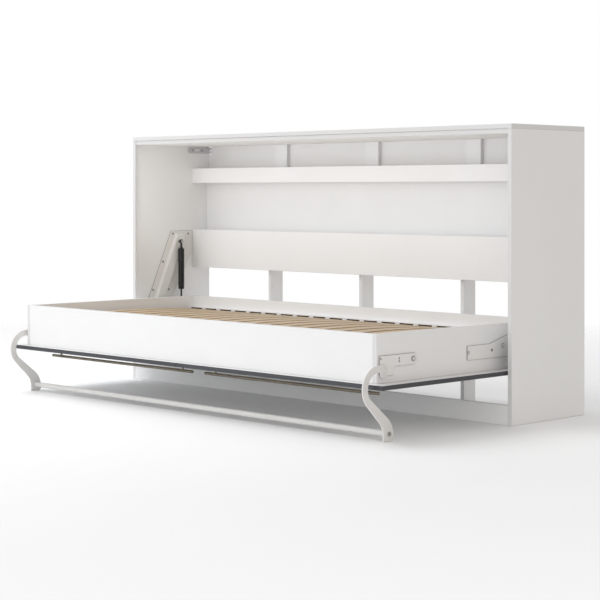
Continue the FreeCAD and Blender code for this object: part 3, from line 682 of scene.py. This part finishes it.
def leg_bolt_mesh(mesh, low, high):
    """Dark bolt of the tube, painted bolt of the leg's joint, or the flush rivet beside that one."""
    side = side_of(low, high)
    radius = (high.z - low.z) / 2
    length = high.x - low.x
    if radius > TUBE_BOLT_OVER:
        screw(mesh, low, high, side, TUBE_BOLT_HEAD, TUBE_BOLT_SHANK)
    elif radius > JOINT_BOLT_OVER:
        screw(mesh, low, high, side, HEAD, JOINT_SHANK, slot=1)
    else:
        turned(mesh, [(radius * 0.7, 0.0), (radius, RIVET_EDGE), (radius, length - RIVET_EDGE),
                      (radius * 0.8, length)], end_of(low, high, -1), (1, 0, 0), 32, slot=1)


bolts = bmesh.new()
for low, high in solid_boxes("leg_bolts"):
    leg_bolt_mesh(bolts, low, high)
piece("leg_bolts", bolts, [SCREW_STEEL, STEEL_COAT])


def turned_pair(node, materials, *profiles):
    """Turned pieces along X from their inner ends; each profile, in mm, has its own material."""
    mesh = bmesh.new()
    for low, high in solid_boxes(node):
        side = side_of(low, high)
        for slot, profile in enumerate(profiles):
            turned(mesh, in_mm(profile), end_of(low, high, -side), (side, 0, 0), slot=slot)
    piece(node, mesh, materials)


turned_pair("pivot_bushes", [NYLON], [
    (10.05, 0.3), (10.4, 0.0), (17.3, 0.0), (18.0, 0.6), (18.0, 1.5), (17.6, 2.0), (13.0, 2.0), (13.0, 15.1),
    (12.6, 15.5), (10.05, 15.5)])
turned_pair("leg_pivot_pins", [SCREW_STEEL, STEEL_COAT], [
    (6.0, 0.0), (6.0, 18.0), (12.0, 18.0), (12.0, 18.7), (6.0, 18.7), (6.0, 22.3), (9.3, 22.3), (9.6, 22.8),
    (9.6, 23.8), (8.9, 24.8), (7.6, 25.3), (6.6, 25.3), (6.2, 24.9), (6.2, 24.2), (5.8, 24.0)], [
    (5.9, 23.4), (5.9, 24.8), (5.4, 25.2), (3.0, 25.3), (2.2, 25.1)])
turned_pair("spring_foot_studs", [PIN_STEEL], [
    (4.0, 0.0), (4.0, 3.0), (8.6, 3.0), (9.0, 3.4), (9.0, 7.5), (8.5, 8.0), (5.0, 8.0), (5.0, 19.6),
    (4.4, 20.5)])
hub_low, hub_high = solid_boxes("pivot_pins")[0]
hub_length = (hub_high.x - hub_low.x) / MM
turned_pair("pivot_pins", [PIN_STEEL], [
    (9.6, 0.0), (10.0, 0.4), (10.0, 21.0), (14.4, 21.0), (15.0, 21.6), (15.0, hub_length - 18.6),
    (14.4, hub_length - 18.0), (10.0, hub_length - 18.0), (10.0, hub_length - 0.6), (9.4, hub_length)])
turned_pair("spring_top_studs", [PIN_STEEL], [
    (6.6, 0.0), (7.0, 0.4), (7.0, 1.6), (6.6, 2.0), (5.0, 2.0), (5.0, 13.0), (7.0, 13.0), (7.0, 22.5),
    (4.0, 22.5), (4.0, 25.0)])


# ---- pressed and flat steel -----------------------------------------------------------------------
def across_x(node, side):
    """Inner and outer face of a side piece, in that order away from the middle."""
    low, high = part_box(node)
    return (low.x, high.x) if side > 0 else (-high.x, -low.x)


def mirrored_to(mesh, side):
    if side < 0:
        bmesh.ops.scale(mesh, vec=(-1, 1, 1), verts=mesh.verts)
    return mesh


def from_point(y, z, corners):
    return [(y + dy * MM, z + dz * MM, radius * MM) for dy, dz, radius in corners]


_, PIVOT_Y, PIVOT_Z = middle_of(*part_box("pivot_bushes"))
FLANGE_STEEL = 2.5 * MM
FLANGE_ROUND = 1.1 * MM
BED_PLATE_ROUND = 1.3 * MM
PRESS_LAP = 0.1 * MM                    # the pressed part starts this far inside the flange
PLATE_FLANGE = from_point(PIVOT_Y, PIVOT_Z, [
    (106, 385, 8), (237, 385, 8), (237, 290, 30), (104, 62, 40), (78, -62, 40), (-62, -62, 40), (-62, 0, 60)])
PLATE_RAISED = from_point(PIVOT_Y, PIVOT_Z, [
    (133, 372, 14), (196, 372, 16), (63, 82, 60), (46, -36, 30), (-41, -36, 28)])
PRESSED = [(-2.0, 0.0), (-0.6, 0.06), (0.2, 0.16), (3.9, 0.82), (4.6, 0.93), (5.9, 0.985), (7.5, 1.0)]
BED_PLATE = from_point(PIVOT_Y, PIVOT_Z, [
    (-267, -42, 5), (-267, 11, 5), (-140, 11, 30), (-21, 42, 30), (170, 42, 16), (170, -52, 16),
    (50, -52, 25), (-21, -43, 60)])

for word, side in SIDES:
    name = word + "_mechanism_plate"
    face, flange_back = across_x(name, side)
    flange_face = flange_back - FLANGE_STEEL
    plate = bmesh.new()
    flat_plate(plate, PLATE_FLANGE, flange_face, flange_back, FLANGE_ROUND)
    mark_rims(plate)
    drop = flange_face - face
    rings = []
    for shrink, up in PRESSED:
        x = flange_face + PRESS_LAP - (drop + PRESS_LAP) * up
        rings.append([Vector((x, p.x, p.y)) for p in rounded(inset(PLATE_RAISED, shrink * MM))])
    loft(plate, rings)
    piece(name, mirrored_to(plate, side), [STEEL_COAT, CUT_EDGE_AND_OUTLINE_SHADE], sharp=50.0)

    name = word + "_pivot_plate"
    inner, outer = across_x(name, side)
    plate = bmesh.new()
    flat_plate(plate, BED_PLATE, inner, outer, BED_PLATE_ROUND)
    mark_rims(plate)
    piece(name, mirrored_to(plate, side), [PLATE_COAT, CUT_EDGE_AND_OUTLINE_SHADE], sharp=60.0)


BOLT_AHEAD, BOLT_BELOW = 154, 41        # mm from the leg frame's pivot to the leg's joint bolt
DOOR_AHEAD, DOOR_BELOW = 216, 91        # and to the edge of the door that the leg turns round
DOOR_GAP = 3.0                          # between that edge and the leg
ARM_ROUND = 1.1 * MM
LEG_ROUND = 1.0 * MM
SPARE_HOLE = 2.5 * MM                   # radius
LEG_SLOPE = math.radians(38.7)
STRAP_BACK, FOOT_BACK = -82, 47         # mm along +Y from the bolt: the bow's inner side, the foot's back

pin_low, pin_high = solid_boxes("leg_pivot_pins")[0]
_, ARM_Y, ARM_Z = middle_of(pin_low, pin_high)
LEG_Y = ARM_Y - BOLT_AHEAD * MM
LEG_Z = ARM_Z - BOLT_BELOW * MM
ARM = from_point(LEG_Y, LEG_Z, [
    (-19, 61, 3), (174, 61, 19), (174, 21, 19), (56, 21, 5), (56, -9, 8), (-19, -9, 8)])
ARM_SPARES = [circle(LEG_Y + dy * MM, ARM_Z + dz * MM, SPARE_HOLE)
              for dy, dz in ((82, -4), (82, 6), (-12, 10))]


def strap_edge(dy):
    """Height over the joint bolt of the strap's inner edge, dy behind the bolt."""
    clear = math.hypot(DOOR_AHEAD, DOOR_BELOW) + DOOR_GAP
    return BOLT_BELOW - (clear + (dy - BOLT_AHEAD) * math.sin(LEG_SLOPE)) / math.cos(LEG_SLOPE)


FLOOR_DROP = -LEG_Z / MM
KNEE = strap_edge(STRAP_BACK)
LEG = from_point(LEG_Y, LEG_Z, [
    (16, 30, 12), (-108.5, 30, 78), (-108.5, KNEE - 8, 76), (-5, KNEE - 111.5, 60), (-5, FLOOR_DROP, 3),
    (FOOT_BACK, FLOOR_DROP, 12), (FOOT_BACK, strap_edge(FOOT_BACK), 85), (STRAP_BACK, KNEE, 46),
    (STRAP_BACK, 5, 52), (-19, 5, 6), (-16, -16, 14), (16, -16, 14)])

for word, side in SIDES:
    name = word + "_leg_arm"
    inner, outer = across_x(name, side)
    arm = bmesh.new()
    pierced_plate(arm, rounded(ARM), ARM_SPARES, inner, outer, ARM_ROUND)
    mark_rims(arm)
    piece(name, mirrored_to(arm, side), [PLATE_COAT, CUT_EDGE_AND_OUTLINE_SHADE], sharp=60.0)

    name = word + "_leg"
    inner, outer = across_x(name, side)
    strap = bmesh.new()
    flat_plate(strap, LEG, inner, outer, LEG_ROUND)
    piece(name, mirrored_to(strap, side), [STEEL_COAT], sharp=50.0)


BRACKET_STEEL = 2 * MM
BRACKET_RIM = 0.4 * MM
BRACKET_CORNER = 1 * MM
BRACKET_END = 14 * MM
WALL_HOLE = 4 * MM                      # radius
WALL_HOLE_INWARD = 10 * MM


def wall_bracket(word, side):
    """Zinc-plated strap with a slot, and a flange with its wall hole folded across the back."""
    name = word + "_wall_bracket"
    low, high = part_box(name)
    inner, outer = across_x(name, side)
    middle = (low.z + high.z) / 2
    bracket = bmesh.new()
    strap = rounded([(low.y, low.z, BRACKET_END), (low.y, high.z, BRACKET_END),
                     (high.y, high.z, BRACKET_CORNER), (high.y, low.z, BRACKET_CORNER)])
    slot = rounded(from_point(low.y, middle, [(45, -4, 3.9), (45, 4, 3.9), (75, 4, 3.9), (75, -4, 3.9)]))
    pierced_plate(bracket, strap, [slot], outer - BRACKET_STEEL, outer, BRACKET_RIM)
    flange = bmesh.new()
    rim = rounded([(inner, low.z, BRACKET_CORNER), (inner, high.z, BRACKET_CORNER),
                   (outer, high.z, BRACKET_CORNER), (outer, low.z, BRACKET_CORNER)])
    hole = circle(outer - WALL_HOLE_INWARD, middle, WALL_HOLE)
    pierced_plate(flange, rim, [hole], high.y - BRACKET_STEEL, high.y, BRACKET_RIM)
    for vertex in flange.verts:
        vertex.co = (vertex.co.y, vertex.co.x, vertex.co.z)
    folded = bpy.data.meshes.new("flange")
    flange.to_mesh(folded)
    flange.free()
    bracket.from_mesh(folded)
    bpy.data.meshes.remove(folded)
    piece(name, mirrored_to(bracket, side), [ZINC], sharp=50.0)


for word, side in SIDES:
    wall_bracket(word, side)


def bar_along_x(mesh, low, high, end, segments):
    """Round bar along X; end is its profile in mm from one end, and the other end mirrors it."""
    length = (high.x - low.x) / MM
    profile = end + [(radius, length - along) for radius, along in reversed(end)]
    turned(mesh, in_mm(profile), end_of(low, high, -1), (1, 0, 0), segments)


tube = bmesh.new()
bar_along_x(tube, *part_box("cross_tube"), [(8.8, 2.0), (9.4, 0.0), (10.1, 0.0), (10.5, 0.5)], 64)
piece("cross_tube", tube, [STEEL_COAT])


# ---- gas springs ----------------------------------------------------------------------------------
UP = (0, 0, 1)
EYE_RADIUS = 10 * MM
EYE_HALF = 5 * MM
EYE = [(5.2, 0.0), (8.4, 0.0), (9.6, 0.8), (10.0, 2.0), (10.0, 8.0), (9.6, 9.2), (8.4, 10.0), (5.2, 10.0),
       (5.1, 9.6), (5.1, 0.4)]
NECK = 43                               # mm from the top of the cylinder's body to the top of its eye


def spring_eye(mesh, x, y, z):
    turned(mesh, in_mm(EYE), (x - EYE_HALF, y, z), (1, 0, 0))


for word, _ in SIDES:
    name = word + "_gas_cylinder"
    low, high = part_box(name)
    x, y, _ = middle_of(low, high)
    bottom = low.z / MM
    body_top = high.z / MM - NECK
    spring = bmesh.new()
    turned(spring, in_mm([
        (4.2, bottom + 1.2), (5.0, bottom + 0.4), (10.2, bottom), (12.4, bottom + 0.3), (13.3, bottom + 1.4),
        (13.3, bottom + 7.0), (12.7, bottom + 7.8), (12.7, bottom + 9.6), (13.4, bottom + 10.6),
        (14.0, bottom + 12.0), (14.0, body_top - 2.0), (13.6, body_top - 0.8), (12.8, body_top),
        (4.0, body_top)]), (x, y, 0), UP, 64)
    turned(spring, in_mm([
        (7.6, body_top - 0.2), (8.4, body_top + 0.6), (8.4, body_top + 4.6), (7.6, body_top + 5.4)]),
        (x, y, 0), UP, 6)
    turned(spring, in_mm([
        (5.0, body_top), (5.0, body_top + 20.0), (4.6, body_top + 22.0), (4.6, body_top + 27.0)]),
        (x, y, 0), UP, 32)
    spring_eye(spring, x, y, high.z - EYE_RADIUS)
    piece(name, spring, [BLACK_COAT])

    name = word + "_spring_rod"
    low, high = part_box(name)
    bottom = low.z / MM
    top = high.z / MM
    rod = bmesh.new()
    turned(rod, in_mm([
        (3.6, bottom), (4.0, bottom + 0.4), (4.0, top - 10), (11.4, top - 10), (11.8, top - 9.6),
        (11.8, top - 0.4), (11.4, top)]), (x, y, 0), UP, 40)
    piece(name, rod, [BLACK_ROD])

    name = word + "_rod_end_fitting"
    low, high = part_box(name)
    bottom = low.z / MM
    top = high.z / MM
    fitting = bmesh.new()
    turned(fitting, in_mm([
        (4.6, top - 0.1), (5.0, top - 0.6), (5.0, bottom + 22.0), (4.7, bottom + 19.0),
        (4.7, bottom + 15.5)]), (x, y, 0), UP, 32)
    spring_eye(fitting, x, y, low.z + EYE_RADIUS)
    piece(name, fitting, [BLACK_COAT])


# ---- handles --------------------------------------------------------------------------------------
for word, _ in SIDES:
    name = word + "_handle_bar"
    bar = bmesh.new()
    bar_along_x(bar, *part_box(name), [(3.2, 0.0), (4.6, 0.15), (5.5, 0.8), (6.0, 2.0)], 48)
    piece(name, bar, [HANDLE_STEEL_PAINTED_REFLECTION])

posts = bmesh.new()
for low, high in solid_boxes("handle_posts"):
    x, y, _ = middle_of(low, high)
    bottom = low.z / MM
    top = high.z / MM
    profile = in_mm([(4.5, bottom - 2), (4.5, top - 1.2), (4.2, top - 0.8), (4.5, top)])
    turned(posts, profile, (x, y, 0), UP, 32)
piece("handle_posts", posts, [HANDLE_STEEL_PAINTED_REFLECTION])


# ---- CAD nodes that keep their own mesh -----------------------------------------------------------
PLAIN_LOOKS = {
    "white_board": WHITE_FACE, "hardboard": WHITE_SHEET, "dowel_beech": BEECH_FACE, "bush_plastic": NYLON}
for name, kept in frame["nodes"].items():
    if not kept.hide_render:
        kept.data.materials.clear()
        kept.data.materials.append(PLAIN_LOOKS[slot_of[name]])


# ---- floor, light and camera ----------------------------------------------------------------------
FLOOR_HALF = 12.0
FLOOR_BELOW = 0.5 * MM                  # the floor lies this far under the feet
ground = bmesh.new()
bmesh.ops.create_grid(ground, x_segments=24, y_segments=24, size=FLOOR_HALF)
ground_data = bpy.data.meshes.new("ground")
ground.to_mesh(ground_data)
ground.free()
ground_data.materials.append(floor_surface())
ground_object = bpy.data.objects.new("ground", ground_data)
ground_object.location = (0, 0, -FLOOR_BELOW)
bpy.context.scene.collection.objects.link(ground_object)


def area_light(name, place, aim, width, height, power):
    data = bpy.data.lights.new(name, "AREA")
    data.shape = "RECTANGLE"
    data.size = width
    data.size_y = height
    data.energy = power
    lamp = bpy.data.objects.new(name, data)
    lamp.location = place
    lamp.rotation_euler = (Vector(aim) - Vector(place)).to_track_quat("-Z", "Y").to_euler()
    lamp.visible_camera = False
    bpy.context.scene.collection.objects.link(lamp)


area_light("overhead", (-2.2, -1.2, 4.2), (0, -0.3, 0), 3.5, 3.0, 112.0)
area_light("front", (-1.2, -6.5, 1.1), (0, 0, 0.6), 5.0, 1.8, 62.0)
area_light("cabinet_fill", (-0.1, 0.139, 0.84), (-0.1, 0.5, 0.84), 1.9, 0.42, 1.15)

# white behind the object for the camera; as a light it is softer, and warm and dim from the +X side
WHITE = (1.0, 1.0, 1.0)
LEFT_SKY = (0.705, 0.715, 0.735)
RIGHT_SKY = (0.668, 0.636, 0.596)
RIGHT_SKY_FROM = 0.55                   # X of the direction from which on the sky is all RIGHT_SKY
world = bpy.data.worlds.new("studio")
world.use_nodes = True
sky = Nodes(world.node_tree)
direction = sky.node("SeparateXYZ", Vector=sky.node("TexCoord").outputs["Generated"])
to_right = sky.share(direction.outputs["X"], 0.0, RIGHT_SKY_FROM)
soft = sky.blend(to_right, LEFT_SKY, RIGHT_SKY)
seen = sky.blend(sky.node("LightPath").outputs["Is Camera Ray"], soft, WHITE)
sky.feed(sky.tree.nodes["Background"].inputs["Color"], seen)
bpy.context.scene.world = world
bpy.context.scene.view_settings.view_transform = "Standard"

camera_data = bpy.data.cameras.new("camera")
camera_data.lens = 99.1
camera_data.sensor_width = 36.0
camera_data.shift_y = -0.1813
camera = bpy.data.objects.new("camera", camera_data)
camera.location = (4.84, -4.643, 0.8573)
camera.rotation_euler = (math.radians(90), 0, math.radians(45.39))
bpy.context.scene.collection.objects.link(camera)
bpy.context.scene.camera = camera
